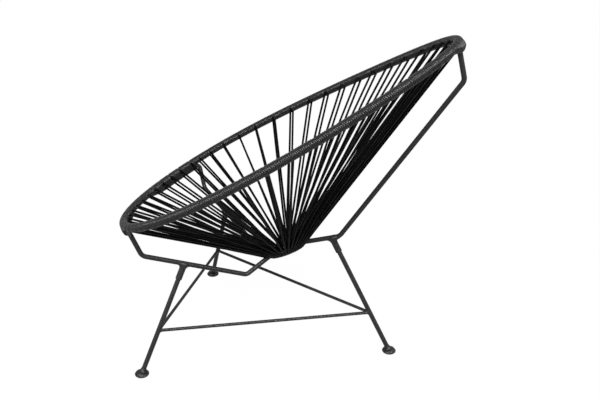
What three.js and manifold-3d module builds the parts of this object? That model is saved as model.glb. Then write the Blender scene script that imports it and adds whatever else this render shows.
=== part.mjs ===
// A lounge chair: an egg-shaped hoop carries a bucket seat of vinyl cord, on a bent-rod frame with three legs.
// Lengths are millimetres, +Z is up and the sitter faces -Y. +X is the sitter's left.
import * as THREE from 'three';
import { mergeVertices } from 'three/addons/utils/BufferGeometryUtils.js';
import Module from 'manifold-3d';

const wasm = await Module();
wasm.setup();

// Stock sizes and the clearance between pieces that touch
const barDiameter = 12.7;
const braceDiameter = 8.5;
const cordDiameter = 4.8;
const strandDiameter = 4.3;
const cordSink = 0.15;
const touchGap = 0.3;
const cutOverrun = 20;
const barSides = 10;
const cordSides = 5;

// The hoop runs from its front point up to its top point, sags a little between them and is widest near the front
const hoopFront = { y: -422.3, z: 363.1 };
const hoopTop = { y: 403.4, z: 857.9 };
const hoopHalfWidth = 335.4;
const hoopSag = 9.7;
const hoopEggShares = [1, -0.31, 0.01, 0.07];

// The ring at the bottom of the bucket is an ellipse, higher at its back
const ringCentre = { y: -1.8, z: 279.4 };
const ringHalfWidth = 35;
const ringHalfDepth = 52.7;
const ringTilt = THREE.MathUtils.degToRad(24.3);

// A front bar lies along the hoop from beneath, a little outside it, drops, runs inwards and rises to the ring
const tailTilt = THREE.MathUtils.degToRad(-12);
const frontCornerReach = 17;
const frontCornerRadius = 12;
const frontKnee = { x: 229.3, y: -312.1, z: 325.7 };
const frontElbow = { x: 69.6, y: -87.7, z: 220.3 };
const frontRingShare = 0.262;
const frontKneeRadius = 24;
const frontElbowRadius = 16;

// The back bar falls from the hoop's top, turns in under the seat and runs to the back of the ring
const backShoulder = { y: 425.9, z: 770.9 };
const backKnee = { y: 147.3, z: 332.6 };
const backShoulderRadius = 20;
const backKneeRadius = 26;

// Legs, their sockets under the bars, the braces between them and the glides
const footFront = { x: 278.3, y: -313.1 };
const footBack = { y: 296.3 };
const frontSocketShare = 0.39;
const backSocketShare = 0.2;
const socketDiameter = 17;
const socketLength = 44;
const braceHeight = 114.4;
const glideDiameter = 37.4;
const glideHeight = 11.5;
const glideSole = 3.5;

// Where each pair of cord strands leaves the hoop, as a share of the half hoop from its front point
const stationShares = [
  0, 0.0304, 0.0609, 0.0913, 0.1218, 0.1522, 0.1855, 0.2109, 0.2407, 0.2773, 0.32, 0.3642, 0.4136,
  0.4638, 0.5164, 0.5647, 0.6126, 0.6584, 0.703, 0.7498, 0.7967, 0.8464, 0.8875, 0.9162, 0.9497, 0.9832,
];
const doubleWrapShare = 0.1935;
const lastFrontStation = 6;
const frontSectorReach = 3;
const sectorStations = [3, 4, 4, 4, 4, 3];

const barRadius = barDiameter / 2;
const cordRadius = cordDiameter / 2;
const strandRadius = strandDiameter / 2;
const wrapInner = barRadius + touchGap;
const wrapOuter = wrapInner + cordDiameter;
const cordOffset = wrapInner + strandRadius - cordSink;
const tailDrop = barDiameter + touchGap;
const lastStation = stationShares.length - 1;

const hoopUp = new THREE.Vector3(0, hoopFront.z - hoopTop.z, hoopTop.y - hoopFront.y).normalize();
const ringUp = new THREE.Vector3(0, -Math.sin(ringTilt), Math.cos(ringTilt));
const ringUpAt = () => ringUp;

// Materials
function powderCoat() {
  return new THREE.MeshStandardMaterial({ color: 0x2c2c2d, roughness: 0.5, metalness: 0.35 });
}

function vinylCord() {
  return new THREE.MeshStandardMaterial({ color: 0x161617, roughness: 0.32, metalness: 0 });
}

function glideRubber() {
  return new THREE.MeshStandardMaterial({ color: 0x1d1d1e, roughness: 0.6, metalness: 0 });
}

// Half of the hoop, on the side of +X or -X, from the front point to the top point
class HalfHoop extends THREE.Curve {
  constructor(side) {
    super();
    this.side = side;
    this.arcLengthDivisions = 800;
  }

  getPoint(t, target = new THREE.Vector3()) {
    const turn = Math.PI * t;
    const rise = 0.5 - 0.5 * Math.cos(turn);
    const s = -Math.cos(turn);
    const egg = hoopEggShares.reduce((sum, share, power) => sum + share * s ** power, 0);
    const along = new THREE.Vector2(hoopTop.y - hoopFront.y, hoopTop.z - hoopFront.z);
    const sag = hoopSag * 4 * rise * (1 - rise) / along.length();
    return target.set(
      this.side * hoopHalfWidth * Math.sin(turn) * egg,
      hoopFront.y + along.x * rise + along.y * sag,
      hoopFront.z + along.y * rise - along.x * sag,
    );
  }
}

// Half of the ring, from the middle of its front to the middle of its back
class HalfRing extends THREE.Curve {
  constructor(side) {
    super();
    this.side = side;
  }

  getPoint(t, target = new THREE.Vector3()) {
    const turn = Math.PI * (t - 0.5);
    const reach = ringHalfDepth * Math.sin(turn);
    return target.set(
      this.side * ringHalfWidth * Math.cos(turn),
      ringCentre.y + reach * Math.cos(ringTilt),
      ringCentre.z + reach * Math.sin(ringTilt),
    );
  }
}

// Both halves as one loop: 0 is the front, 1 the back and 2 the front again, by way of +X
class Loop {
  constructor(Half) {
    this.halves = [new Half(1), new Half(-1)];
    this.halfLength = this.halves[0].getLength();
  }

  at(place) {
    const turned = ((place % 2) + 2) % 2;
    if (turned <= 1) return this.halves[0].getPointAt(turned);
    return this.halves[1].getPointAt(2 - turned);
  }

  tangent(place) {
    const step = 1e-3;
    return this.at(place + step).sub(this.at(place - step)).normalize();
  }
}

const hoop = new Loop(HalfHoop);
const ring = new Loop(HalfRing);

// A route through given points, with a cross-section square to the given tangent at each of them
class Route extends THREE.Curve {
  constructor(points, tangents, upwards) {
    super();
    this.points = points;
    this.tangents = tangents || bisectors(points);
    this.upwards = upwards;
  }

  getPoint(t, target = new THREE.Vector3()) {
    const place = t * (this.points.length - 1);
    const index = Math.min(Math.floor(place + 1e-6), this.points.length - 2);
    return target.copy(this.points[index]).lerp(this.points[index + 1], place - index);
  }

  getTangent(t, target = new THREE.Vector3()) {
    return target.copy(this.tangents[Math.round(t * (this.points.length - 1))]);
  }

  getUtoTmapping(u) {
    return u;
  }

  computeFrenetFrames(segments, closed) {
    if (!this.upwards) return super.computeFrenetFrames(segments, closed);
    const { tangents } = this;
    const normals = tangents.map((tangent, i) => this.upwards[i].clone().cross(tangent).normalize());
    const binormals = tangents.map((tangent, i) => tangent.clone().cross(normals[i]));
    return { tangents, normals, binormals };
  }
}

function bisectors(points) {
  return points.map((point, i) => {
    const before = points[Math.max(i - 1, 0)];
    const after = points[Math.min(i + 1, points.length - 1)];
    const inwards = point.clone().sub(before).normalize();
    return after.clone().sub(point).normalize().add(inwards).normalize();
  });
}

// A bent line through the corners, with an arc of the given radius at each inner one
function bentPoints(corners, radii) {
  const arcStep = THREE.MathUtils.degToRad(14);
  const points = [corners[0]];
  radii.forEach((radius, i) => {
    const corner = corners[i + 1];
    const back = corners[i].clone().sub(corner).normalize();
    const ahead = corners[i + 2].clone().sub(corner).normalize();
    const turn = Math.PI - back.angleTo(ahead);
    const reach = radius * Math.tan(turn / 2);
    const bisector = back.clone().add(ahead).normalize();
    const centre = corner.clone().addScaledVector(bisector, radius / Math.cos(turn / 2));
    const start = corner.clone().addScaledVector(back, reach).sub(centre);
    const axis = ahead.clone().cross(back).normalize();
    const steps = Math.ceil(turn / arcStep);
    for (let k = 0; k <= steps; k += 1) {
      points.push(start.clone().applyAxisAngle(axis, turn * k / steps).add(centre));
    }
  });
  points.push(corners[corners.length - 1]);
  return points;
}

// Outlines of cross-sections: a circle, or a slot that spans two bars one above the other
function circlePoints(radius, sides) {
  return Array.from({ length: sides }, (_, i) => {
    const angle = 2 * Math.PI * i / sides;
    return new THREE.Vector2(radius * Math.cos(angle), radius * Math.sin(angle));
  });
}

function slotPoints(radius, sides, drop) {
  const circle = circlePoints(radius, sides);
  const upper = circle.slice(0, sides / 2 + 1);
  const lower = [...circle.slice(sides / 2), circle[0]];
  return [...upper, ...lower.map((point) => new THREE.Vector2(point.x, point.y - drop))];
}

function sectionPoints(radius, drop) {
  return drop ? slotPoints(radius, barSides, drop) : circlePoints(radius, barSides);
}

function wrapSection(drop) {
  const shape = new THREE.Shape(sectionPoints(wrapOuter, drop));
  shape.holes.push(new THREE.Path(sectionPoints(wrapInner, drop)));
  return shape;
}

function roundShape(radius, sides = barSides) {
  return new THREE.Shape(circlePoints(radius, sides));
}

function sweep(route, section) {
  return new THREE.ExtrudeGeometry(section, {
    steps: route.points.length - 1,
    bevelEnabled: false,
    extrudePath: route,
  });
}

function bentBar(points, radius) {
  return sweep(new Route(points), roundShape(radius));
}

function loopRoute(loop, places, upwards) {
  const points = places.map((place) => loop.at(place));
  const tangents = places.map((place) => loop.tangent(place));
  return new Route(points, tangents, places.map(upwards));
}

// Across the hoop, tilted towards the side that a front bar's tail lies on
function hoopUpAt(place) {
  return hoopUp.clone().applyAxisAngle(hoop.tangent(place), tailTilt);
}

function closedTube(loop, places, radius, upwards) {
  const route = loopRoute(loop, places, upwards);
  return new THREE.TubeGeometry(route, places.length - 1, radius, barSides, true);
}

function straightRod(from, to, radius, sides = barSides) {
  const along = to.clone().sub(from);
  const geometry = new THREE.CylinderGeometry(radius, radius, along.length(), sides);
  const turn = new THREE.Quaternion().setFromUnitVectors(new THREE.Vector3(0, 1, 0), along.clone().normalize());
  geometry.applyQuaternion(turn);
  const middle = from.clone().add(to).multiplyScalar(0.5);
  return geometry.translate(middle.x, middle.y, middle.z);
}

// Solids for cuts and joins
function solid(geometry) {
  const bare = geometry.clone();
  bare.deleteAttribute('normal');
  bare.deleteAttribute('uv');
  const merged = mergeVertices(bare, 1e-4);
  return new wasm.Manifold(new wasm.Mesh({
    numProp: 3,
    vertProperties: merged.attributes.position.array,
    triVerts: new Uint32Array(merged.index.array),
  }));
}

// The largest body of a cut, without the crumbs and pinholes that graze it
function wholeBody(manifold) {
  return manifold.decompose().reduce((best, body) => (body.volume() > best.volume() ? body : best));
}

function geometryOf(manifold) {
  const mesh = manifold.getMesh();
  const geometry = new THREE.BufferGeometry();
  geometry.setAttribute('position', new THREE.BufferAttribute(mesh.vertProperties, 3));
  geometry.setIndex(new THREE.BufferAttribute(mesh.triVerts, 1));
  geometry.computeVertexNormals();
  return geometry;
}

const chair = new THREE.Group();

function addPiece(name, geometry, material) {
  const mesh = new THREE.Mesh(geometry, material);
  mesh.name = name;
  chair.add(mesh);
}

// Places of the cord pairs round both loops: 0 is the front one, then by way of +X
const stationCount = 2 * lastStation + 1;

function sideOf(station) {
  const turned = ((station % stationCount) + stationCount) % stationCount;
  return turned <= lastStation ? { index: turned, side: 1 } : { index: stationCount - turned, side: -1 };
}

function hoopPlace(station) {
  const { index, side } = sideOf(station);
  return side > 0 ? stationShares[index] : 2 - stationShares[index];
}

// Strands stand side by side on the ring, clear of the bars that are welded to it
function ringShare(index) {
  const barGap = (barRadius + touchGap) / ring.halfLength;
  const frontPitch = (frontRingShare - barGap) / (lastFrontStation + 0.5);
  const firstSide = frontRingShare + barGap;
  const sidePitch = (1 - barGap - firstSide) / (lastStation - lastFrontStation);
  if (index <= lastFrontStation + 0.5) return Math.min(index * frontPitch, frontRingShare - barGap);
  return firstSide + (index - lastFrontStation - 0.5) * sidePitch;
}

function ringPlace(station) {
  const { index, side } = sideOf(station);
  return side > 0 ? ringShare(index) : 2 - ringShare(index);
}

// Neighbouring sectors of cord meet halfway between their stations, and at the end of the double wrap
function sectorEdges() {
  const edges = [frontSectorReach + 0.5];
  sectorStations.forEach((count) => edges.push(edges[edges.length - 1] + count));
  return edges;
}

function edgeShare(edge) {
  if (edge === lastFrontStation + 0.5) return doubleWrapShare;
  if (edge >= lastStation) return 1;
  return (stationShares[edge - 0.5] + stationShares[edge + 0.5]) / 2;
}

function steppedPlaces(from, to, loop, stepLength) {
  const steps = Math.max(1, Math.round((to - from) * loop.halfLength / stepLength));
  return Array.from({ length: steps + 1 }, (_, i) => from + (to - from) * i / steps);
}

// The sectors: front, then left 1 to 6 from front to back, then right 6 to 1
function sectorList() {
  const edges = sectorEdges();
  const front = { name: 'seat_cord_front', first: -frontSectorReach, last: frontSectorReach };
  front.hoop = [-edgeShare(edges[0]), edgeShare(edges[0])];
  front.ring = [-ringShare(edges[0]), ringShare(edges[0])];
  const sectors = [front];
  sectorStations.forEach((count, i) => {
    const first = edges[i] + 0.5;
    const hoopSpan = [edgeShare(edges[i]), edgeShare(edges[i + 1])];
    const startShare = first === lastFrontStation + 1 ? 2 * frontRingShare - ringShare(edges[i]) : ringShare(edges[i]);
    const ringSpan = [startShare, ringShare(edges[i + 1])];
    sectors.push({
      name: `seat_cord_left_${i + 1}`, first, last: first + count - 1, hoop: hoopSpan, ring: ringSpan,
    });
    sectors.push({
      name: `seat_cord_right_${i + 1}`,
      first: stationCount - first - count + 1,
      last: stationCount - first,
      hoop: [2 - hoopSpan[1], 2 - hoopSpan[0]],
      ring: [2 - ringSpan[1], 2 - ringSpan[0]],
    });
  });
  return sectors;
}

const hoopStep = 40;
const ringStep = 10;
const sectors = sectorList();

function loopPlaces(loop, span, stepLength) {
  const ordered = [...sectors].sort((a, b) => a[span][0] - b[span][0]);
  const places = ordered.flatMap((sector) => steppedPlaces(...sector[span], loop, stepLength));
  const spaced = places.filter((place, i) => i === 0 || place - places[i - 1] > 1e-6);
  return spaced[spaced.length - 1] < spaced[0] + 2 - 1e-6 ? [...spaced, spaced[0] + 2] : spaced;
}

// The point of a front bar's tail beside a place of the hoop
function tailPoint(place) {
  const tangent = hoop.tangent(place);
  const side = hoopUpAt(place).cross(tangent).normalize();
  return hoop.at(place).addScaledVector(tangent.cross(side), -tailDrop);
}

// Frame bars as routes; the front one is the left one's, and the right one mirrors it
function frontBarPoints() {
  const tailStart = tailPoint(doubleWrapShare);
  const corner = tailStart.clone().addScaledVector(hoop.tangent(doubleWrapShare), frontCornerReach);
  const knee = new THREE.Vector3(frontKnee.x, frontKnee.y, frontKnee.z);
  const elbow = new THREE.Vector3(frontElbow.x, frontElbow.y, frontElbow.z);
  const drop = bentPoints(
    [ring.at(frontRingShare), elbow, knee, corner, tailStart],
    [frontElbowRadius, frontKneeRadius, frontCornerRadius],
  );
  const tailEndShare = edgeShare(frontSectorReach + 0.5);
  const tail = hoopPlaces
    .filter((place) => place > tailEndShare - 1e-6 && place < doubleWrapShare - 1e-6)
    .sort((a, b) => b - a)
    .map((place) => tailPoint(place));
  return [...drop, ...tail];
}

function mirrored(point) {
  return point.clone().multiply(new THREE.Vector3(-1, 1, 1));
}

function backBarPoints() {
  const shoulder = new THREE.Vector3(0, backShoulder.y, backShoulder.z);
  const knee = new THREE.Vector3(0, backKnee.y, backKnee.z);
  return bentPoints([hoop.at(1), shoulder, knee, ring.at(1)], [backShoulderRadius, backKneeRadius]);
}

const hoopPlaces = loopPlaces(hoop, 'hoop', hoopStep);
const ringPlaces = loopPlaces(ring, 'ring', ringStep);
const leftBar = frontBarPoints();
const rightBar = leftBar.map(mirrored);
const backBar = backBarPoints();

// What must stay clear of each bar
function frameSolids() {
  return {
    hoop: solid(closedTube(hoop, hoopPlaces, wrapInner, hoopUpAt)),
    ring: solid(closedTube(ring, ringPlaces, wrapInner, ringUpAt)),
    left: solid(bentBar(leftBar, wrapInner)),
    right: solid(bentBar(rightBar, wrapInner)),
    back: solid(bentBar(backBar, wrapInner)),
  };
}

const cutters = frameSolids();

function addFrame() {
  const back = solid(bentBar(backBar, barRadius)).subtract(cutters.ring).subtract(cutters.hoop);
  addPiece('seat_hoop', closedTube(hoop, hoopPlaces, barRadius, hoopUpAt), powderCoat());
  addPiece('inner_ring', closedTube(ring, ringPlaces, barRadius, ringUpAt), powderCoat());
  for (const [side, points] of Object.entries({ left: leftBar, right: rightBar })) {
    const bar = solid(bentBar(points, barRadius)).subtract(cutters.ring);
    addPiece(`front_frame_bar_${side}`, geometryOf(bar), powderCoat());
  }
  addPiece('back_frame_bar', geometryOf(wholeBody(back)), powderCoat());
}

// One leg with its socket and glide; foot is the glide's centre and joint the point on the bar's axis
function legAxis(foot, joint) {
  const axis = joint.clone().sub(foot).normalize();
  const atHeight = (z) => foot.clone().addScaledVector(axis, (z - foot.z) / axis.z);
  return { foot, joint, axis, atHeight };
}

function legAxes() {
  const knee = new THREE.Vector3(frontKnee.x, frontKnee.y, frontKnee.z);
  const elbow = new THREE.Vector3(frontElbow.x, frontElbow.y, frontElbow.z);
  const frontJoint = knee.clone().lerp(elbow, frontSocketShare);
  const frontFoot = new THREE.Vector3(footFront.x, footFront.y, glideSole);
  const mirror = new THREE.Vector3(-1, 1, 1);
  const backJoint = new THREE.Vector3(0, backKnee.y, backKnee.z).lerp(ring.at(1), backSocketShare);
  return {
    left: legAxis(frontFoot, frontJoint),
    right: legAxis(frontFoot.clone().multiply(mirror), frontJoint.clone().multiply(mirror)),
    back: legAxis(new THREE.Vector3(0, footBack.y, glideSole), backJoint),
  };
}

function socketGeometry(leg, barCutter) {
  const bottom = leg.joint.clone().addScaledVector(leg.axis, -socketLength);
  const outer = solid(straightRod(bottom, leg.joint, socketDiameter / 2));
  const boreStart = bottom.clone().addScaledVector(leg.axis, -cutOverrun);
  const boreEnd = leg.joint.clone().addScaledVector(leg.axis, cutOverrun);
  const bore = solid(straightRod(boreStart, boreEnd, wrapInner));
  return geometryOf(outer.subtract(bore).subtract(barCutter));
}

function legGeometry(leg) {
  const lowEnd = leg.foot.clone().addScaledVector(leg.axis, -cutOverrun);
  const topEnd = leg.joint.clone().addScaledVector(leg.axis, -barDiameter);
  const rod = solid(straightRod(lowEnd, topEnd, barRadius));
  return geometryOf(rod.trimByPlane([0, 0, 1], leg.foot.z));
}

function glideGeometry(leg) {
  const radius = glideDiameter / 2;
  const profileShares = [[0, 0], [0.8, 0], [0.96, 0.14], [1, 0.38], [0.95, 0.62], [0.78, 0.8], [0.45, 1], [0, 1]];
  const profile = profileShares.map(([across, height]) => new THREE.Vector2(across * radius, height * glideHeight));
  const body = new THREE.LatheGeometry(profile, 2 * barSides).rotateX(Math.PI / 2).translate(leg.foot.x, leg.foot.y, 0);
  const top = leg.foot.clone().addScaledVector(leg.axis, cutOverrun);
  const low = leg.foot.clone().addScaledVector(leg.axis, -cutOverrun);
  const pocket = solid(straightRod(low, top, wrapInner)).trimByPlane([0, 0, 1], glideSole - touchGap);
  return geometryOf(solid(body).subtract(pocket));
}

function braceRod(legA, legB, radius) {
  return solid(straightRod(legA.atHeight(braceHeight), legB.atHeight(braceHeight), radius));
}

// Braces end on the legs, and where two meet at a leg the later one is cut back to clear the earlier one
function addBraces(legs) {
  const legCutters = Object.values(legs).map((leg) => solid(straightRod(leg.foot, leg.joint, wrapInner)));
  const pairs = [['front', legs.left, legs.right], ['left', legs.left, legs.back], ['right', legs.right, legs.back]];
  const earlier = [];
  for (const [name, legA, legB] of pairs) {
    const rod = braceRod(legA, legB, braceDiameter / 2);
    const cut = [...legCutters, ...earlier].reduce((kept, cutter) => kept.subtract(cutter), rod);
    addPiece(`leg_brace_${name}`, geometryOf(cut), powderCoat());
    earlier.push(braceRod(legA, legB, braceDiameter / 2 + touchGap));
  }
}

function addLegs() {
  const legs = legAxes();
  for (const [side, leg] of Object.entries(legs)) {
    addPiece(`leg_socket_${side}`, socketGeometry(leg, cutters[side]), powderCoat());
    addPiece(`leg_${side}`, legGeometry(leg), powderCoat());
    addPiece(`foot_glide_${side}`, glideGeometry(leg), glideRubber());
  }
  addBraces(legs);
}

// A strand leaves the hoop and meets the ring along a tangent, over their tops or under their bottoms
function strandEnd(centre, tangent, towards, over, offset = cordOffset) {
  const away = tangent.clone().cross(towards).normalize();
  if (away.z * over < 0) away.negate();
  return { away, point: centre.clone().addScaledVector(away, offset) };
}

// Where a front bar's tail lies in the turns, the lower strand leaves at the height of the tail
function strandGeometry(station, over) {
  const { index, side } = sideOf(station);
  const place = hoopPlace(station) + side * over * strandRadius / hoop.halfLength;
  const onTail = over < 0 && index > frontSectorReach && index <= lastFrontStation;
  const start = onTail ? tailPoint(place) : hoop.at(place);
  const end = ring.at(ringPlace(station));
  const towards = end.clone().sub(start).normalize();
  const ends = [
    strandEnd(start, hoop.tangent(place), towards, over, onTail ? 0 : cordOffset),
    strandEnd(end, ring.tangent(ringPlace(station)), towards, over),
  ];
  const route = new Route(ends.map((each) => each.point), null, ends.map((each) => each.away));
  return sweep(route, roundShape(strandRadius, cordSides));
}

// The cord's turns round a stretch of the hoop or the ring, with half a gap left at each end
function wrapStretch(loop, span, stepLength, drop, upwards) {
  const places = steppedPlaces(...span, loop, stepLength);
  const route = loopRoute(loop, places, upwards);
  const last = places.length - 1;
  route.points[0].addScaledVector(route.tangents[0], touchGap / 2);
  route.points[last].addScaledVector(route.tangents[last], -touchGap / 2);
  return solid(sweep(route, wrapSection(drop)));
}

// The room that a sector's turns take on the ring, which the strands of its neighbours stay out of
function ringRoom(sector) {
  const route = loopRoute(ring, steppedPlaces(...sector.ring, ring, ringStep), ringUpAt);
  return solid(sweep(route, roundShape(wrapOuter + touchGap)));
}

const ringRooms = sectors.map(ringRoom);

function strandSolids(sector) {
  const strands = [];
  for (let station = sector.first; station <= sector.last; station += 1) {
    strands.push(solid(strandGeometry(station, 1)), solid(strandGeometry(station, -1)));
  }
  const joined = wasm.Manifold.union(strands);
  const rooms = ringRooms.filter((room, i) => sectors[i] !== sector);
  return rooms.reduce((kept, room) => kept.subtract(room), joined);
}

function sectorGeometry(sector) {
  const nearest = Math.min(sideOf(sector.first).index, sideOf(sector.last).index);
  const drop = sector !== sectors[0] && nearest <= lastFrontStation ? tailDrop : 0;
  const hoopTurns = wrapStretch(hoop, sector.hoop, hoopStep, drop, hoopUpAt);
  const ringTurns = wrapStretch(ring, sector.ring, ringStep, 0, ringUpAt);
  const joined = hoopTurns.add(ringTurns).add(strandSolids(sector));
  const cut = Object.values(cutters).reduce((kept, cutter) => kept.subtract(cutter), joined);
  return geometryOf(wholeBody(cut));
}

function addSeatCord() {
  for (const sector of sectors) addPiece(sector.name, sectorGeometry(sector), vinylCord());
}

addFrame();
addLegs();
addSeatCord();

// The origin lies under the middle of the chair's depth
const box = new THREE.Box3().setFromObject(chair);
chair.position.y = -(box.min.y + box.max.y) / 2;

export default chair;
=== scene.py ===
# Cord lounge chair on a rod frame with three legs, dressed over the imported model.
# Metres, +Z up. The sitter faces -Y and +X is the sitter's left.
import math
from bisect import bisect_right

import bpy
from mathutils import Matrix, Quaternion, Vector
from mathutils.kdtree import KDTree


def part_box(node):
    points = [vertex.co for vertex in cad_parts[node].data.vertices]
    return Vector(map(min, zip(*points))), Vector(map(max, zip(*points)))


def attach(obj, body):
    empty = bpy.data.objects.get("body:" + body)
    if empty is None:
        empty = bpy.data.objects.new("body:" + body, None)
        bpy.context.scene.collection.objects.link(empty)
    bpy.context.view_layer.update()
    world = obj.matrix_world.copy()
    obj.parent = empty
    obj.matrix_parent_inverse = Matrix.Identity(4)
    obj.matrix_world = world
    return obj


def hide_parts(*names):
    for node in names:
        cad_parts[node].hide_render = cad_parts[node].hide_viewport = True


print("frame: load the packed model")
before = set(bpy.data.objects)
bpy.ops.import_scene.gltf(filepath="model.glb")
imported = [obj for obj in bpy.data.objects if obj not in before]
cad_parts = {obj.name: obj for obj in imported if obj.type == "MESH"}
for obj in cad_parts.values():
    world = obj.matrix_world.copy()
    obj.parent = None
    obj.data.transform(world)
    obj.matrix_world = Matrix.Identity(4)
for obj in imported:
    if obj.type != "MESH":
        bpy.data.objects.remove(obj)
print(len(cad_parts), "solids")
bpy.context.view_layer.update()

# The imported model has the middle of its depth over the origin, which moves it a little along Y
rearFootY = 0.2963
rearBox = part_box("foot_glide_back")
moveY = (rearBox[0].y + rearBox[1].y) / 2 - rearFootY

mm = 0.001
rod = {"radius": 6.35 * mm, "bendStep": 6}


def placed(x, y, z):
    return Vector((x * mm, y * mm + moveY, z * mm))


# The loops that carry the cord
hoopShape = {
    "front": (-422.3, 363.1),
    "top": (403.4, 857.9),
    "halfWidth": 335.4,
    "sag": 9.7,
    "egg": (1, -0.31, 0.01, 0.07),
    "tailTilt": math.radians(-12),
}
ringShape = {
    "middle": (-1.8, 279.4),
    "halfWidth": 35,
    "halfDepth": 52.7,
    "tilt": math.radians(24.3),
}


def hoopPoint(side, t):
    turn = math.pi * t
    rise = 0.5 - 0.5 * math.cos(turn)
    s = -math.cos(turn)
    egg = sum(share * s**power for power, share in enumerate(hoopShape["egg"]))
    (frontY, frontZ), (topY, topZ) = hoopShape["front"], hoopShape["top"]
    reachY, reachZ = topY - frontY, topZ - frontZ
    sag = hoopShape["sag"] * 4 * rise * (1 - rise) / math.hypot(reachY, reachZ)
    return placed(
        side * hoopShape["halfWidth"] * math.sin(turn) * egg,
        frontY + reachY * rise + reachZ * sag,
        frontZ + reachZ * rise - reachY * sag,
    )


def ringPoint(side, t):
    turn = math.pi * (t - 0.5)
    reach = ringShape["halfDepth"] * math.sin(turn)
    return placed(
        side * ringShape["halfWidth"] * math.cos(turn),
        ringShape["middle"][0] + reach * math.cos(ringShape["tilt"]),
        ringShape["middle"][1] + reach * math.sin(ringShape["tilt"]),
    )


loopDetail = {"tablePoints": 1500, "tangentReach": 1e-3, "hoopSteps": 420, "ringSteps": 120}


# A loop is read by its place: 0 at the front, 1 at the back by way of +X, and 2 at the front again
def loopTable(pointAt):
    halves, count = {}, loopDetail["tablePoints"]
    for side in (1, -1):
        points = [pointAt(side, i / count) for i in range(count + 1)]
        lengths = [0.0]
        for before, after in zip(points, points[1:]):
            lengths.append(lengths[-1] + (after - before).length)
        halves[side] = (points, lengths)
    return halves


hoopTable = loopTable(hoopPoint)
ringTable = loopTable(ringPoint)
hoopHalf = hoopTable[1][1][-1]
ringHalf = ringTable[1][1][-1]


def loopAt(table, place):
    place %= 2
    side, share = (1, place) if place <= 1 else (-1, 2 - place)
    points, lengths = table[side]
    wanted = share * lengths[-1]
    i = min(bisect_right(lengths, wanted), len(lengths) - 1)
    span = lengths[i] - lengths[i - 1]
    return points[i - 1].lerp(points[i], (wanted - lengths[i - 1]) / span)


def loopTangent(table, place):
    reach = loopDetail["tangentReach"]
    return (loopAt(table, place + reach) - loopAt(table, place - reach)).normalized()


def rotated(vector, axis, angle):
    return (
        vector * math.cos(angle)
        + axis.cross(vector) * math.sin(angle)
        + axis * axis.dot(vector) * (1 - math.cos(angle))
    )


# The directions at a place on a loop: along it, inward and upward
def loopAxes(table, place, rise, tilt=0.0):
    tangent = loopTangent(table, place)
    up = rise.copy()
    if tilt:
        up = rotated(up, tangent, tilt)
    inward = up.cross(tangent).normalized()
    return tangent, inward, tangent.cross(inward)


(hoopFrontY, hoopFrontZ), (hoopTopY, hoopTopZ) = hoopShape["front"], hoopShape["top"]
hoopRise = Vector((0, hoopFrontZ - hoopTopZ, hoopTopY - hoopFrontY)).normalized()
ringRise = Vector((0, -math.sin(ringShape["tilt"]), math.cos(ringShape["tilt"])))


# The same for the hoop, leaning as the bars' tails lie under it
def hoopAxes(place):
    return loopAxes(hoopTable, place, hoopRise, hoopShape["tailTilt"])


# Bent rods: corners with an arc at each inner one
def bentPoints(corners, radii):
    points = [corners[0]]
    for i, radius in enumerate(radii):
        corner = corners[i + 1]
        back = (corners[i] - corner).normalized()
        ahead = (corners[i + 2] - corner).normalized()
        turn = math.pi - back.angle(ahead)
        middle = corner + (back + ahead).normalized() * radius / math.cos(turn / 2)
        start = corner + back * radius * math.tan(turn / 2) - middle
        axis = ahead.cross(back).normalized()
        steps = max(2, math.ceil(math.degrees(turn) / rod["bendStep"]))
        points += [middle + rotated(start, axis, turn * k / steps) for k in range(steps + 1)]
    points.append(corners[-1])
    return points


def deselectAll():
    if bpy.context.object and bpy.context.object.mode != "OBJECT":
        bpy.ops.object.mode_set(mode="OBJECT")
    bpy.ops.object.select_all(action="DESELECT")


def pick(obj):
    deselectAll()
    obj.select_set(True)
    bpy.context.view_layer.objects.active = obj


meshDetail = {
    "tubeResolution": 4, "mergeWithin": 1e-6, "tubeSmooth": math.radians(60),
    "startRadius": 10 * mm, "startLift": 1 * mm, "stackSmooth": math.radians(40),
}


# A curve with a round bevel through the points, turned into a mesh. Each point may have a width
def tubeMesh(
    name, path, radius, resolution=meshDetail["tubeResolution"], closed=False, widths=None,
):
    deselectAll()
    bpy.ops.curve.primitive_bezier_curve_add(location=(0, 0, 0))
    obj = bpy.context.object
    obj.name = name
    obj.data.name = name
    curve = obj.data
    curve.splines.clear()
    curve.dimensions = "3D"
    curve.twist_mode = "MINIMUM"
    curve.bevel_depth = radius
    curve.bevel_resolution = resolution
    curve.use_fill_caps = not closed
    spline = curve.splines.new("POLY")
    spline.points.add(len(path) - 1)
    spline.points.foreach_set("co", [value for point in path for value in (*point, 1.0)])
    if widths:
        spline.points.foreach_set("radius", widths)
    spline.use_cyclic_u = closed
    spline.use_smooth = True
    pick(obj)
    bpy.ops.object.convert(target="MESH")
    obj = bpy.context.object
    bpy.ops.object.mode_set(mode="EDIT")
    bpy.ops.mesh.select_all(action="SELECT")
    bpy.ops.mesh.remove_doubles(threshold=meshDetail["mergeWithin"])
    bpy.ops.mesh.normals_make_consistent(inside=False)
    bpy.ops.object.mode_set(mode="OBJECT")
    bpy.ops.object.shade_smooth_by_angle(angle=meshDetail["tubeSmooth"])
    return obj


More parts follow.
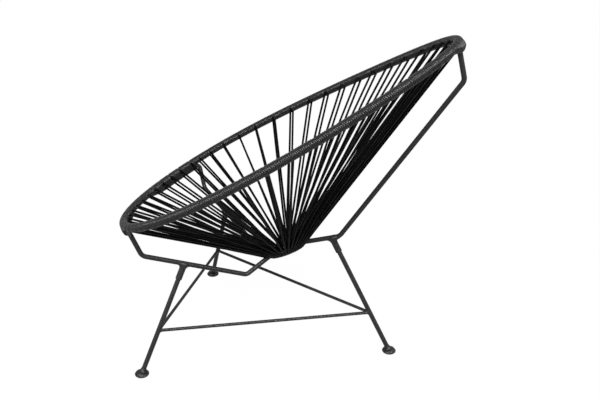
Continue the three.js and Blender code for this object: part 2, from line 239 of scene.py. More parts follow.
# A circle extruded ring by ring, whose vertices then go to the points given for each ring
def ringStack(name, rings):
    count, lift = len(rings[0]), meshDetail["startLift"]
    deselectAll()
    bpy.ops.mesh.primitive_circle_add(
        vertices=count, radius=meshDetail["startRadius"], fill_type="NGON", location=(0, 0, 0),
    )
    obj = bpy.context.object
    obj.name = name
    obj.data.name = name
    bpy.ops.object.mode_set(mode="EDIT")
    bpy.ops.mesh.select_all(action="SELECT")
    for _ in rings[1:]:
        bpy.ops.mesh.extrude_region_move(TRANSFORM_OT_translate={"value": (0, 0, lift)})
    bpy.ops.object.mode_set(mode="OBJECT")
    for vertex in obj.data.vertices:
        level = round(vertex.co.z / lift)
        turn = math.atan2(vertex.co.y, vertex.co.x) / (2 * math.pi)
        vertex.co = rings[level][round(turn * count) % count]
    bpy.ops.object.mode_set(mode="EDIT")
    bpy.ops.mesh.select_all(action="SELECT")
    bpy.ops.mesh.normals_make_consistent(inside=False)
    bpy.ops.object.mode_set(mode="OBJECT")
    bpy.ops.object.shade_smooth_by_angle(angle=meshDetail["stackSmooth"])
    return obj


def finishPiece(obj, material, slot, *replaced):
    obj.data.materials.clear()
    obj.data.materials.append(material)
    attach(obj, "root")
    if replaced:
        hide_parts(*replaced)


# A fine grain for the bump, and broad soft patches that vary the tone and the gloss
peelLook = {
    "fineDetail": 2, "patchScale": 35, "patchDetail": 3,
    "patches": {"From Min": 0.3, "From Max": 0.7, "To Min": 0.93, "To Max": 1.07},
}


def orangePeelGroup():
    group = bpy.data.node_groups.new("orangePeel", "ShaderNodeTree")
    for label, flow, kind in (
        ("Scale", "INPUT", "Float"), ("Tone", "INPUT", "Color"),
        ("Roughness", "INPUT", "Float"), ("Color", "OUTPUT", "Color"),
        ("Roughness", "OUTPUT", "Float"), ("Height", "OUTPUT", "Float"),
    ):
        group.interface.new_socket(label, in_out=flow, socket_type="NodeSocket" + kind)
    entry = group.nodes.new("NodeGroupInput")
    leave = group.nodes.new("NodeGroupOutput")
    link = group.links.new
    coords = group.nodes.new("ShaderNodeTexCoord")
    fine = group.nodes.new("ShaderNodeTexNoise")
    fine.inputs["Detail"].default_value = peelLook["fineDetail"]
    link(coords.outputs["Object"], fine.inputs["Vector"])
    link(entry.outputs["Scale"], fine.inputs["Scale"])
    broad = group.nodes.new("ShaderNodeTexNoise")
    broad.inputs["Scale"].default_value = peelLook["patchScale"]
    broad.inputs["Detail"].default_value = peelLook["patchDetail"]
    link(coords.outputs["Object"], broad.inputs["Vector"])
    tone = group.nodes.new("ShaderNodeMapRange")
    for label, value in peelLook["patches"].items():
        tone.inputs[label].default_value = value
    link(broad.outputs["Fac"], tone.inputs["Value"])
    scaled = group.nodes.new("ShaderNodeVectorMath")
    scaled.operation = "SCALE"
    link(entry.outputs["Tone"], scaled.inputs[0])
    link(tone.outputs["Result"], scaled.inputs["Scale"])
    link(scaled.outputs["Vector"], leave.inputs["Color"])
    rough = group.nodes.new("ShaderNodeMath")
    rough.operation = "MULTIPLY"
    link(entry.outputs["Roughness"], rough.inputs[0])
    link(tone.outputs["Result"], rough.inputs[1])
    link(rough.outputs[0], leave.inputs["Roughness"])
    link(fine.outputs["Fac"], leave.inputs["Height"])
    return group


orangePeel = orangePeelGroup()


def surfaceMaterial(name, look):
    material = bpy.data.materials.new(name)
    material.use_nodes = True
    tree = material.node_tree
    shader = tree.nodes["Principled BSDF"]
    shader.inputs["Specular IOR Level"].default_value = look["specular"]
    effect = tree.nodes.new("ShaderNodeGroup")
    effect.node_tree = orangePeel
    effect.inputs["Scale"].default_value = look["grain"]
    effect.inputs["Tone"].default_value = (*look["tone"], 1)
    effect.inputs["Roughness"].default_value = look["roughness"]
    bump = tree.nodes.new("ShaderNodeBump")
    bump.inputs["Strength"].default_value = look["bump"]
    bump.inputs["Distance"].default_value = look["depth"]
    tree.links.new(effect.outputs["Color"], shader.inputs["Base Color"])
    tree.links.new(effect.outputs["Roughness"], shader.inputs["Roughness"])
    tree.links.new(effect.outputs["Height"], bump.inputs["Height"])
    tree.links.new(bump.outputs["Normal"], shader.inputs["Normal"])
    return material


print("materials")
finishLooks = {
    "powderCoat": {
        "tone": (0.035, 0.035, 0.036), "roughness": 0.38, "specular": 0.1,
        "grain": 1400, "bump": 0.3, "depth": 0.00012,
    },
    "vinylTurns": {
        "tone": (0.026, 0.026, 0.0265), "roughness": 0.3, "specular": 0.1,
        "grain": 260, "bump": 0.1, "depth": 0.00006,
    },
    # the strands are the same vinyl as the turns, painted about ten times darker: painted shade
    "vinylStrandsPaintedShade": {
        "tone": (0.0028, 0.0028, 0.0029), "roughness": 0.4, "specular": 0.015,
        "grain": 260, "bump": 0.15, "depth": 0.00008,
    },
    "glideRubber": {
        "tone": (0.012, 0.012, 0.0125), "roughness": 0.45, "specular": 0.15,
        "grain": 700, "bump": 0.12, "depth": 0.00008,
    },
}
powderCoat, vinylTurns, vinylStrandsPaintedShade, glideRubber = (
    surfaceMaterial(name, look) for name, look in finishLooks.items()
)

print("loops: hoop and ring")
for name, table, steps, node in (
    ("hoopRod", hoopTable, loopDetail["hoopSteps"], "seat_hoop"),
    ("ringRod", ringTable, loopDetail["ringSteps"], "inner_ring"),
):
    loop = [loopAt(table, 2 * i / steps) for i in range(steps)]
    finishPiece(tubeMesh(name, loop, rod["radius"], closed=True), powderCoat, "powder_coat", node)

print("frame bars")
frontBar = {
    "knee": (229.3, -312.1, 325.7),
    "elbow": (69.6, -87.7, 220.3),
    "ringShare": 0.262,
    "tailShares": (0.1065, 0.1935),
    "tailDrop": 13 * mm,
    "tailSteps": 14,
    "cornerReach": 17 * mm,
    "cornerRadius": 12 * mm,
    "kneeRadius": 24 * mm,
    "elbowRadius": 16 * mm,
}
backBar = {
    "shoulder": (0, 425.9, 770.9),
    "knee": (0, 147.3, 332.6),
    "shoulderRadius": 20 * mm,
    "kneeRadius": 26 * mm,
}


def mirrored(point):
    return Vector((-point.x, point.y, point.z))


def tailPoint(place):
    return loopAt(hoopTable, place) - hoopAxes(place)[2] * frontBar["tailDrop"]


def frontBarPath():
    tailFront, tailBack = frontBar["tailShares"]
    tailStart = tailPoint(tailBack)
    corner = tailStart + loopTangent(hoopTable, tailBack) * frontBar["cornerReach"]
    drop = bentPoints(
        [
            loopAt(ringTable, frontBar["ringShare"]),
            placed(*frontBar["elbow"]),
            placed(*frontBar["knee"]),
            corner,
            tailStart,
        ],
        [frontBar["elbowRadius"], frontBar["kneeRadius"], frontBar["cornerRadius"]],
    )
    steps = frontBar["tailSteps"]
    places = [tailBack + (tailFront - tailBack) * i / steps for i in range(1, steps + 1)]
    return drop + [tailPoint(place) for place in places]


leftBarPath = frontBarPath()
rightBarPath = [mirrored(point) for point in leftBarPath]
backBarPath = bentPoints(
    [
        loopAt(hoopTable, 1), placed(*backBar["shoulder"]),
        placed(*backBar["knee"]), loopAt(ringTable, 1),
    ],
    [backBar["shoulderRadius"], backBar["kneeRadius"]],
)
for name, path, node in (
    ("frontBarLeft", leftBarPath, "front_frame_bar_left"),
    ("frontBarRight", rightBarPath, "front_frame_bar_right"),
    ("backBar", backBarPath, "back_frame_bar"),
):
    finishPiece(tubeMesh(name, path, rod["radius"]), powderCoat, "powder_coat", node)

print("cord")
cord = {
    # wider than its pitch, because its turns are pressed flat against the rod afterwards
    "radius": 3.4 * mm, "pitch": 4.82 * mm, "coil": 8.05 * mm, "pressedTo": 6.45 * mm,
    "resolution": 2, "stepsPerTurn": 20, "fewestSteps": 3, "ringTurnSteps": 10, "edgeStep": 1e-5,
    # under the hoop's top the turns reach down over the back bar's end
    "topDrop": 10 * mm, "topShares": (0.952, 0.985),
    # past the front ends of the bars' tails the double wrap closes up slowly
    "taperFrom": 0.045,
    "linePoints": 4000, "turnsWithin": 13.7 * mm,
}
strandPlan = {
    # where each pair of strands leaves the hoop, from the front to the top, in shares of a side
    "shares": (
        0, 0.0304, 0.0609, 0.0913, 0.1218, 0.1522, 0.1855, 0.2109, 0.2407, 0.2773,
        0.32, 0.3642, 0.4136, 0.4638, 0.5164, 0.5647, 0.6126, 0.6584, 0.703, 0.7498,
        0.7967, 0.8464, 0.8875, 0.9162, 0.9497, 0.9832,
    ),
    "lastBeforeBar": 6, "frontSector": 3, "sideSectors": (3, 4, 4, 4, 4, 3), "barGap": 0.3 * mm,
    # how far down the tail's side the lower strands leave: in the front sector, and behind it
    "leaveShares": (0.6, 0.75),
    "leaveReach": 7 * mm, "easedPoints": 3, "pointsBetween": (0.25, 0.5, 0.75), "width": 0.87,
}
lastStation = len(strandPlan["shares"]) - 1
stationCount = 2 * lastStation + 1


def stationPlace(station):
    station %= stationCount
    shares = strandPlan["shares"]
    return shares[station] if station <= lastStation else 2 - shares[stationCount - station]


# The pairs are spread evenly round the ring, clear of the three bars that end there
def ringShare(index):
    barGap = (rod["radius"] + strandPlan["barGap"]) / ringHalf
    frontPitch = (frontBar["ringShare"] - barGap) / (strandPlan["lastBeforeBar"] + 0.5)
    firstSide = frontBar["ringShare"] + barGap
    sidePitch = (1 - barGap - firstSide) / (lastStation - strandPlan["lastBeforeBar"])
    if index <= strandPlan["lastBeforeBar"] + 0.5:
        return min(index * frontPitch, frontBar["ringShare"] - barGap)
    return firstSide + (index - strandPlan["lastBeforeBar"] - 0.5) * sidePitch


def ringPlace(station):
    station %= stationCount
    return ringShare(station) if station <= lastStation else 2 - ringShare(stationCount - station)


# How far the turns reach down below the hoop's own wrap at a place
def dropAt(place):
    share = place % 2
    share = share if share <= 1 else 2 - share
    topFrom, topFull = cord["topShares"]
    if share > topFrom:
        rise = min(1.0, (share - topFrom) / (topFull - topFrom))
        return cord["topDrop"] * rise * rise * (3 - 2 * rise)
    tailFront, tailBack = frontBar["tailShares"]
    taper = min(1.0, max(0.0, (share - cord["taperFrom"]) / (tailFront - cord["taperFrom"])))
    return frontBar["tailDrop"] * taper * (2 - taper) if share < tailBack else 0.0


def turnLength(drop):
    return 2 * math.pi * cord["coil"] + 2 * drop


# The cord's path round the section, from the inner side: a circle, or a slot where it reaches down
def sectionPoint(length, drop):
    r = cord["coil"]
    length %= turnLength(drop)
    half = math.pi * r
    if length < half:
        return r * math.cos(length / r), r * math.sin(length / r)
    length -= half
    if length < drop:
        return -r, -length
    length -= drop
    if length < half:
        return -r * math.cos(length / r), -drop - r * math.sin(length / r)
    return r, -drop + length - half


def lengthOfAngle(angle, drop):
    r = cord["coil"]
    angle %= 2 * math.pi
    return angle * r if angle < math.pi else angle * r + drop


def hoopCordPoint(place, length, drop):
    _, inward, up = hoopAxes(place)
    x, y = sectionPoint(length, drop)
    return loopAt(hoopTable, place) + inward * x + up * y


# The angle round the section at which a strand leaves it, over the top or from below
def strandAngle(axes, towards, side):
    tangent, inward, up = axes
    away = tangent.cross(towards).normalized()
    if away.z * side < 0:
        away.negate()
    return math.atan2(away.dot(up), away.dot(inward)) % (2 * math.pi)


# Where a lower strand leaves a slot's inner side: beside a tail, or level with the hoop's top
def sideLength(station, drop):
    index = min(station % stationCount, stationCount - station % stationCount)
    if index <= strandPlan["lastBeforeBar"]:
        share = strandPlan["leaveShares"][index > strandPlan["frontSector"]]
        return turnLength(drop) - drop * share
    return turnLength(drop) if index == lastStation else None


# One pair of strands: out over the hoop's top to the ring, round its inner side and back under
def stationStrands(station):
    nudge = cord["pitch"] / 4 / hoopHalf  # the two leave the hoop half a pitch apart
    spot = ringPlace(station)
    ringMiddle = loopAt(ringTable, spot)
    ringAxes = loopAxes(ringTable, spot, ringRise)
    ends = {}
    for label, place, side in (
        ("upper", stationPlace(station) - nudge, 1),
        ("lower", stationPlace(station) + nudge, -1),
    ):
        drop = dropAt(place)
        towards = (ringMiddle - loopAt(hoopTable, place)).normalized()
        length = lengthOfAngle(strandAngle(hoopAxes(place), towards, side), drop)
        if side < 0:
            length = sideLength(station, drop) or length
        ends[label] = {
            "place": place, "length": length, "start": hoopCordPoint(place, length, drop),
            "ringAngle": strandAngle(ringAxes, towards, side),
        }
    _, inward, up = ringAxes
    begin, end = ends["upper"]["ringAngle"], ends["lower"]["ringAngle"]
    while end > begin:
        end -= 2 * math.pi
    # the ring's inner side lies at angle 0, so the turn goes down through it
    steps = cord["ringTurnSteps"]
    turn = []
    for k in range(steps + 1):
        angle = begin + (end - begin) * k / steps
        offset = inward * math.cos(angle) + up * math.sin(angle)
        turn.append(ringMiddle + offset * cord["coil"])
    return ends, turn


strandSets = {station: stationStrands(station) for station in range(stationCount)}


# Turns round the hoop from one place to another, each with its length round the section there
def woundTurns(place0, length0, place1, length1):
    step = cord["edgeStep"]
    turned0 = length0 / turnLength(dropAt(place0 + step))
    turned1 = length1 / turnLength(dropAt(place1 - step))
    turned1 += math.ceil(turned0 - turned1) - 1
    turned1 -= max(0, round((place1 - place0) * hoopHalf / cord["pitch"] - (turned0 - turned1)))
    count = max(cord["fewestSteps"], round((turned0 - turned1) * cord["stepsPerTurn"]))
    points = []
    for k in range(count + 1):
        place = place0 + (place1 - place0) * k / count
        drop = dropAt(min(max(place, place0 + step), place1 - step))
        turned = turned0 + (turned1 - turned0) * k / count
        points.append(hoopCordPoint(place, turned * turnLength(drop), drop))
    return points


# Where the turns after a station are halved: midway to the next one, or where a bar's tail ends
def bayEdge(station):
    station %= stationCount
    if station == lastStation:
        return 1.0
    mirror = station > lastStation
    index = stationCount - station - 1 if mirror else station
    low, high = strandPlan["shares"][index], strandPlan["shares"][index + 1]
    edge = frontBar["tailShares"][1] if index == strandPlan["lastBeforeBar"] else (low + high) / 2
    return 2 - edge if mirror else edge


# Turns round the hoop between two stations, in two halves that meet on top
def bayHalves(station):
    first = strandSets[station % stationCount][0]["lower"]
    second = strandSets[(station + 1) % stationCount][0]["upper"]
    endPlace = second["place"] + (2 if second["place"] < first["place"] else 0)
    middle = bayEdge(station)
    topLength = math.pi / 2 * cord["coil"]
    return (
        woundTurns(first["place"], first["length"], middle, topLength),
        woundTurns(middle, topLength, endPlace, second["length"]),
    )


# The seat's sectors, as its solids are divided: one round the front, the others along each side
def sectorStations():
    front = strandPlan["frontSector"]
    sectors = {"front": list(range(-front, front + 1))}
    first = front + 1
    for i, count in enumerate(strandPlan["sideSectors"]):
        sectors[f"left_{i + 1}"] = list(range(first, first + count))
        sectors[f"right_{i + 1}"] = [stationCount - first - count + 1 + k for k in range(count)]
        first += count
    return sectors


# A corner rounded off between the points on both sides of it
def eased(before, corner, after):
    steps = strandPlan["easedPoints"] + 1
    return [
        before.lerp(corner, t).lerp(corner.lerp(after, t), t)
        for t in (k / steps for k in range(1, steps))
    ]


# The run of a station: half a bay, out and back, half a bay. The hoop's turns have a mark of 1
def stationPath(station):
    ends, turn = strandSets[station % stationCount]
    arriving, leaving = bayHalves(station - 1)[1], bayHalves(station)[0]
    out, back = ends["upper"]["start"], ends["lower"]["start"]
    reach, between = strandPlan["leaveReach"], strandPlan["pointsBetween"]
    cut = strandPlan["easedPoints"]
    outPoint = out + (turn[0] - out).normalized() * reach
    backPoint = back + (turn[-1] - back).normalized() * reach
    before = arriving[:-cut] + eased(arriving[-cut - 1], out, outPoint)
    strand = [outPoint] + [outPoint.lerp(turn[0], t) for t in between]
    strand += turn
    strand += [turn[-1].lerp(backPoint, t) for t in between] + [backPoint]
    after = eased(backPoint, back, leaving[cut]) + leaving[cut:]
    marks = [1] * len(before) + [0] * len(strand) + [1] * len(after)
    return before + strand + after, marks


# The hoop's turns shine more than the strands, which are painted darker as painted shade. Turns are
# known by how near the hoop's middle is
places = [2 * i / cord["linePoints"] for i in range(cord["linePoints"])]
woundLines = [loopAt(hoopTable, place) for place in places]
woundLines += [
    point - hoopAxes(place)[2] * dropAt(place)
    for place, point in zip(places, woundLines) if dropAt(place) > 0
]
woundTree = KDTree(len(woundLines))
for i, point in enumerate(woundLines):
    woundTree.insert(point, i)
woundTree.balance()


# Cord that is wound tight lies flat on the rod, so the turns' inner half is pressed up against it
def pressTurns(obj):
    flatten = (cord["coil"] - cord["pressedTo"]) / cord["radius"]
    for vertex in obj.data.vertices:
        nearest, _, reach = woundTree.find(vertex.co)
        if 0 < reach < cord["coil"]:
            pressed = cord["coil"] - (cord["coil"] - reach) * flatten
            vertex.co = nearest + (vertex.co - nearest) * (pressed / reach)


# Faces away from the hoop's turns take the strands' material, which is painted darker as painted
# shade
def markStrands(obj):
    for face in obj.data.polygons:
        face.material_index = 0 if woundTree.find(face.center)[2] < cord["turnsWithin"] else 1


for sector, stations in sectorStations().items():
    name = "cord" + "".join(word.capitalize() for word in sector.split("_"))
    path, marks = [], []
    for station in stations:
        run, runMarks = stationPath(station)
        skip = 1 if path else 0  # one station's last point is the next one's first
        path += run[skip:]
        marks += runMarks[skip:]
    widths = [1.0 if mark else strandPlan["width"] for mark in marks]
    piece = tubeMesh(name, path, cord["radius"], resolution=cord["resolution"], widths=widths)
    finishPiece(piece, vinylTurns, "vinyl_cord", "seat_cord_" + sector)
    piece.data.materials.append(vinylStrandsPaintedShade)
    pressTurns(piece)
    markStrands(piece)

print("legs and sockets")
legPlan = {
    "frontFoot": (278.3, -313.1),
    "rearFoot": (0, 296.3),
    "sole": 3.5,
    "frontJoin": 0.39,
    "rearJoin": 0.2,
}


def legLine(foot, joint):
    axis = (joint - foot).normalized()
    return {"foot": foot, "joint": joint, "axis": axis}


def legLines():
    knee, elbow = placed(*frontBar["knee"]), placed(*frontBar["elbow"])
    frontJoint = knee.lerp(elbow, legPlan["frontJoin"])
    frontFoot = placed(*legPlan["frontFoot"], legPlan["sole"])
    rearJoint = placed(*backBar["knee"]).lerp(loopAt(ringTable, 1), legPlan["rearJoin"])
    return {
        "left": legLine(frontFoot, frontJoint),
        "right": legLine(mirrored(frontFoot), mirrored(frontJoint)),
        "back": legLine(placed(*legPlan["rearFoot"], legPlan["sole"]), rearJoint),
    }


def distanceToLine(point, start, direction):
    away = point - start
    return (away - direction * away.dot(direction)).length


def smoothLeast(a, b, blend):
    h = max(blend - abs(a - b), 0) / blend
    return min(a, b) - h * h * blend / 4


def acrossAxes(axis):
    first = axis.orthogonal().normalized()
    return first, axis.cross(first)


def circlePoints(centre, first, second, radius, around):
    return [
        centre + (first * math.cos(angle) + second * math.sin(angle)) * radius
        for angle in (2 * math.pi * k / around for k in range(around))
    ]


weldHalvings = 8  # each one halves the error of a weld's surface


# Rings round one rod that flare into the rods it meets, as a weld does
def blendedRings(start, axis, levels, radiusAt, bars, shape):
    first, second = acrossAxes(axis)

    def outside(point, level):
        gap = distanceToLine(point, start, axis) - radiusAt(level)
        for bar in bars:
            other = distanceToLine(point, bar["point"], bar["axis"]) - bar["radius"] + shape["sink"]
            gap = smoothLeast(gap, other, shape["blend"])
        return gap

    rings = []
    for level in levels:
        base = start + axis * level
        ring = []
        for k in range(shape["around"]):
            angle = 2 * math.pi * k / shape["around"]
            direction = first * math.cos(angle) + second * math.sin(angle)
            near, far = 0.0, shape["step"]
            while far < shape["farthest"] and outside(base + direction * far, level) < 0:
                near, far = far, far + shape["step"]
            for _ in range(weldHalvings):
                middle = (near + far) / 2
                if outside(base + direction * middle, level) < 0:
                    near = middle
                else:
                    far = middle
            ring.append(base + direction * near)
        rings.append(ring)
    return rings


def spacedLevels(begin, end, count):
    return [begin + (end - begin) * i / count for i in range(count + 1)]


socket = {
    "radius": 8.5 * mm,
    "bore": 6.6 * mm,
    "length": 44 * mm,
    "boreDepth": 6 * mm,
    "rim": 0.7 * mm,
    "rimCurve": 0.3,
    "domeFrom": -5 * mm,
    "domeHeight": 9.5 * mm,
    "plain": {"lift": 3 * mm, "end": -24 * mm, "steps": 3},
    "flare": {"begin": -22 * mm, "end": 4 * mm, "steps": 24},
    "weld": {
        "around": 48, "sink": 0.15 * mm, "blend": 11 * mm, "step": 0.5 * mm, "farthest": 21 * mm,
    },
}
legs = legLines()
barDirections = {
    "left": (placed(*frontBar["elbow"]) - placed(*frontBar["knee"])).normalized(),
    "back": (loopAt(ringTable, 1) - placed(*backBar["knee"])).normalized(),
}
barDirections["right"] = mirrored(barDirections["left"])


def socketRadius(level):
    rise = (level - socket["domeFrom"]) / socket["domeHeight"]
    if rise <= 0:
        return socket["radius"]
    return socket["radius"] * math.sqrt(max(1 - rise * rise, 0.0))


def socketRings(side):
    start, axis, weld = legs[side]["joint"], legs[side]["axis"], socket["weld"]
    bar = {"point": start, "axis": barDirections[side], "radius": rod["radius"]}
    low, rim, curve = -socket["length"], socket["rim"], socket["rimCurve"]
    mouth = [
        (low + socket["boreDepth"], socket["bore"]),
        (low + rim / 2, socket["bore"]),
        (low, socket["bore"] + rim / 2),
        (low, socket["radius"] - rim),
        (low + rim * curve, socket["radius"] - rim * curve),
        (low + rim, socket["radius"]),
    ]
    first, second = acrossAxes(axis)
    rings = [
        circlePoints(start + axis * level, first, second, radius, weld["around"])
        for level, radius in mouth
    ]
    plain, flare = socket["plain"], socket["flare"]
    levels = spacedLevels(low + plain["lift"], plain["end"], plain["steps"])
    levels += spacedLevels(flare["begin"], flare["end"], flare["steps"])
    return rings + blendedRings(start, axis, levels, socketRadius, [bar], weld)


for side, leg in legs.items():
    top = leg["joint"] - leg["axis"] * 2 * rod["radius"]
    middle = leg["foot"].lerp(top, 0.5)
    legRod = tubeMesh("leg" + side.capitalize(), [leg["foot"], middle, top], rod["radius"])
    finishPiece(legRod, powderCoat, "powder_coat", "leg_" + side)
    sleeve = ringStack("legSocket" + side.capitalize(), socketRings(side))
    finishPiece(sleeve, powderCoat, "powder_coat", "leg_socket_" + side)

print("leg braces")
brace = {
    "radius": 4.25 * mm,
    "height": 114.4 * mm,
    "begin": 1 * mm,
    "reach": 26 * mm,
    "reachSteps": 16,
    "plainFrom": 30 * mm,
    "plainSteps": 6,
    "weld": {
        "around": 24, "sink": 0.12 * mm, "blend": 4 * mm, "step": 0.4 * mm, "farthest": 8 * mm,
    },
}


def onLeg(side, height):
    leg = legs[side]
    return leg["foot"] + leg["axis"] * (height - leg["foot"].z) / leg["axis"].z


for name, first, second in (
    ("front", "left", "right"), ("left", "left", "back"), ("right", "right", "back"),
):
    start, end = onLeg(first, brace["height"]), onLeg(second, brace["height"])
    span = (end - start).length
    axis = (end - start) / span
    bars = [
        {"point": onLeg(side, brace["height"]), "axis": legs[side]["axis"], "radius": rod["radius"]}
        for side in (first, second)
    ]
    reach, plainFrom = brace["reach"], brace["plainFrom"]
    levels = spacedLevels(brace["begin"], reach, brace["reachSteps"])
    levels += spacedLevels(reach + plainFrom, span - reach - plainFrom, brace["plainSteps"])
    levels += spacedLevels(span - reach, span - brace["begin"], brace["reachSteps"])
    rings = blendedRings(start, axis, levels, lambda level: brace["radius"], bars, brace["weld"])
    braceRod = ringStack("legBrace" + name.capitalize(), rings)
    finishPiece(braceRod, powderCoat, "powder_coat", "leg_brace_" + name)

print("glides")
glide = {
    "radius": 18.7 * mm,
    "around": 48,
    # shares of the radius and heights, from the sole's recess over the rim and dome to the neck
    "profile": (
        (0.70, 0.9), (0.73, 0.2), (0.76, 0.0), (0.86, 0.0), (0.93, 0.6), (0.975, 1.7),
        (1.0, 3.1), (1.0, 4.0), (0.985, 4.6), (0.955, 4.9), (0.94, 5.3), (0.925, 6.0),
        (0.87, 7.4), (0.78, 8.7), (0.68, 9.5), (0.585, 10.1), (0.51, 10.8), (0.455, 11.8),
        (0.415, 13.2), (0.385, 15.2), (0.37, 17.4), (0.355, 18.2), (0.33, 18.4),
    ),
    "neckFrom": 7.4 * mm,
    "neckTo": 13.2 * mm,
}


def glideRings(leg):
    rings = []
    upright = Vector((0, 0, 1))
    neckFrom, neckTo = glide["neckFrom"], glide["neckTo"]
    base = Vector((leg["foot"].x, leg["foot"].y, 0))
    for share, height in glide["profile"]:
        lift = height * mm
        lean = min(1.0, max(0.0, (lift - neckFrom) / (neckTo - neckFrom)))
        axis = upright.lerp(leg["axis"], lean).normalized()
        onAxis = leg["foot"] + leg["axis"] * (lift - leg["foot"].z) / leg["axis"].z
        centre = (base + upright * lift).lerp(onAxis, lean)
        # every ring begins on its +X side, so that the leaning rings stay in line
        second = axis.cross(Vector((1, 0, 0))).normalized()
        first = second.cross(axis)
        rings.append(circlePoints(centre, first, second, share * glide["radius"], glide["around"]))
    return rings


for side, leg in legs.items():
    disc = ringStack("footGlide" + side.capitalize(), glideRings(leg))
    finishPiece(disc, glideRubber, "glide", "foot_glide_" + side)

print("weld under the hoop's top")
neck = {
    "begin": 3 * mm, "length": 34 * mm, "steps": 26, "skin": 0.02 * mm, "hoopRadius": 11 * mm,
    "weld": {
        "around": 32, "sink": 0.2 * mm, "blend": 11 * mm, "step": 0.5 * mm, "farthest": 13 * mm,
    },
}
neckAxis = (placed(*backBar["shoulder"]) - loopAt(hoopTable, 1)).normalized()
neckBars = [
    {"point": loopAt(hoopTable, 1), "axis": Vector((1, 0, 0)), "radius": neck["hoopRadius"]},
]
neckRings = blendedRings(
    loopAt(hoopTable, 1), neckAxis, spacedLevels(neck["begin"], neck["length"], neck["steps"]),
    lambda level: rod["radius"] + neck["skin"], neckBars, neck["weld"],
)
finishPiece(ringStack("hoopWeld", neckRings), powderCoat, "powder_coat")

print("camera, light and floor")
viewpoint = {
    "azimuth": math.radians(105.40),
    "elevation": math.radians(23.46),
    "roll": math.radians(0.05),
    "distance": 2.0522,
    "target": (0, -0.0330, 0.4236),
    "lens": 46.72,
    "sensor": 36,
    "shift": (0.0451, -0.0050),
    "clip": (0.05, 60),
}


# The way from the chair to a camera or lamp. Azimuth 0 is in front, and 90 on the sitter's left
def wayTo(azimuth, elevation):
    level = math.cos(elevation)
    return Vector((math.sin(azimuth) * level, -math.cos(azimuth) * level, math.sin(elevation)))


def aim(obj, direction, roll=0.0):
    obj.rotation_mode = "QUATERNION"
    obj.rotation_quaternion = direction.to_track_quat("-Z", "Y") @ Quaternion((0, 0, 1), roll)


backward = wayTo(viewpoint["azimuth"], viewpoint["elevation"])
bpy.ops.object.camera_add(location=Vector(viewpoint["target"]) + backward * viewpoint["distance"])
camera = bpy.context.object
aim(camera, -backward, viewpoint["roll"])
camera.data.lens = viewpoint["lens"]
camera.data.sensor_width = viewpoint["sensor"]
camera.data.shift_x, camera.data.shift_y = viewpoint["shift"]
camera.data.clip_start, camera.data.clip_end = viewpoint["clip"]
bpy.context.scene.camera = camera

studio = {
    "floorSize": 16, "floorTone": 0.2, "floorRoughness": 0.9, "floorSpecular": 0.1,
    # how much of the floor is seen as white, and how white
    "floorGlow": 0.86, "floorGlowPower": 1.145,
    "ambient": 0.13,
    "sun": {"azimuth": 125, "elevation": 45, "distance": 4, "power": 0.8, "spread": 20},
    "strips": {
        "fill": {"place": (2.5, -0.2, 2.5), "size": (4.4, 0.3), "power": 90, "matt": True},
        "glint": {"place": (2.5, 0.4, 2.5), "size": (8, 0.2), "power": 620, "matt": False},
        "backGlint": {"place": (0.2, 3.4, 2.9), "size": (5, 0.2), "power": 210, "matt": False},
    },
    "aim": (0, 0, 0.4),
}


# A share for camera, gloss and glass rays, and nothing for the rays that light matt surfaces
def seenShare(tree, share):
    paths = tree.nodes.new("ShaderNodeLightPath")
    total = paths.outputs["Is Camera Ray"]
    for label in ("Is Glossy Ray", "Is Transmission Ray"):
        add = tree.nodes.new("ShaderNodeMath")
        add.operation = "ADD"
        add.use_clamp = True
        tree.links.new(total, add.inputs[0])
        tree.links.new(paths.outputs[label], add.inputs[1])
        total = add.outputs[0]
    scale = tree.nodes.new("ShaderNodeMath")
    scale.operation = "MULTIPLY"
    scale.inputs[1].default_value = share
    tree.links.new(total, scale.inputs[0])
    return scale.outputs[0]


# The plain shader or sky, with a share of another one in what those rays see
def mixSeen(tree, share, plain, seen, surface):
    mix = tree.nodes.new("ShaderNodeMixShader")
    tree.links.new(seenShare(tree, share), mix.inputs["Fac"])
    tree.links.new(plain, mix.inputs[1])
    tree.links.new(seen, mix.inputs[2])
    tree.links.new(mix.outputs["Shader"], surface)


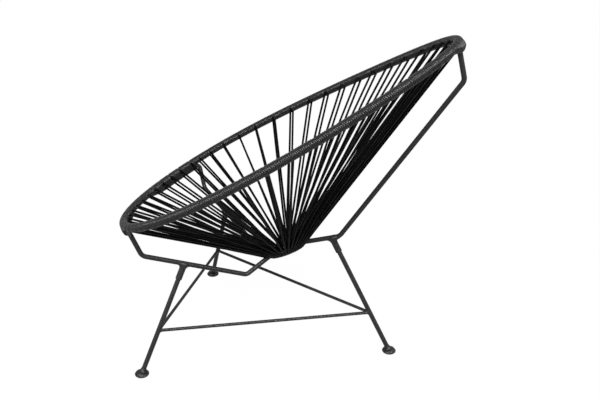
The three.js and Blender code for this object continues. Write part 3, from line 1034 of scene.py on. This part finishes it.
bpy.ops.mesh.primitive_plane_add(size=studio["floorSize"], location=(0, 0, 0))
floor = bpy.context.object
floor.name = "floor"
floorMaterial = bpy.data.materials.new("paleFloor")
floorMaterial.use_nodes = True
floorTree = floorMaterial.node_tree
floorShader = floorTree.nodes["Principled BSDF"]
floorShader.inputs["Base Color"].default_value = (studio["floorTone"],) * 3 + (1,)
floorShader.inputs["Roughness"].default_value = studio["floorRoughness"]
floorShader.inputs["Specular IOR Level"].default_value = studio["floorSpecular"]
floorGlow = floorTree.nodes.new("ShaderNodeEmission")
floorGlow.inputs["Color"].default_value = (1, 1, 1, 1)
floorGlow.inputs["Strength"].default_value = studio["floorGlowPower"]
mixSeen(
    floorTree, studio["floorGlow"], floorShader.outputs["BSDF"], floorGlow.outputs["Emission"],
    floorTree.nodes["Material Output"].inputs["Surface"],
)
floor.data.materials.append(floorMaterial)

world = bpy.data.worlds.new("studio")
bpy.context.scene.world = world
world.use_nodes = True
worldTree = world.node_tree
ambient = worldTree.nodes["Background"]
ambient.inputs["Color"].default_value = (1, 1, 1, 1)
ambient.inputs["Strength"].default_value = studio["ambient"]
whiteSky = worldTree.nodes.new("ShaderNodeBackground")
whiteSky.inputs["Color"].default_value = (1, 1, 1, 1)
whiteSky.inputs["Strength"].default_value = 1.0
mixSeen(
    worldTree, 1.0, ambient.outputs["Background"], whiteSky.outputs["Background"],
    worldTree.nodes["World Output"].inputs["Surface"],
)

lamp = studio["sun"]
towards = wayTo(math.radians(lamp["azimuth"]), math.radians(lamp["elevation"]))
bpy.ops.object.light_add(type="SUN", location=towards * lamp["distance"])
sun = bpy.context.object
sun.data.energy = lamp["power"]
sun.data.angle = math.radians(lamp["spread"])
aim(sun, -towards)

# The glint strips only make the thin highlight along the cord and bars: they light nothing matt
for label, lamp in studio["strips"].items():
    bpy.ops.object.light_add(type="AREA", location=lamp["place"])
    strip = bpy.context.object
    strip.name = label + "Strip"
    strip.data.shape = "RECTANGLE"
    strip.data.size, strip.data.size_y = lamp["size"]
    strip.data.energy = lamp["power"]
    strip.visible_diffuse = lamp["matt"]
    aim(strip, Vector(studio["aim"]) - Vector(lamp["place"]))

bpy.context.scene.view_settings.view_transform = "Standard"
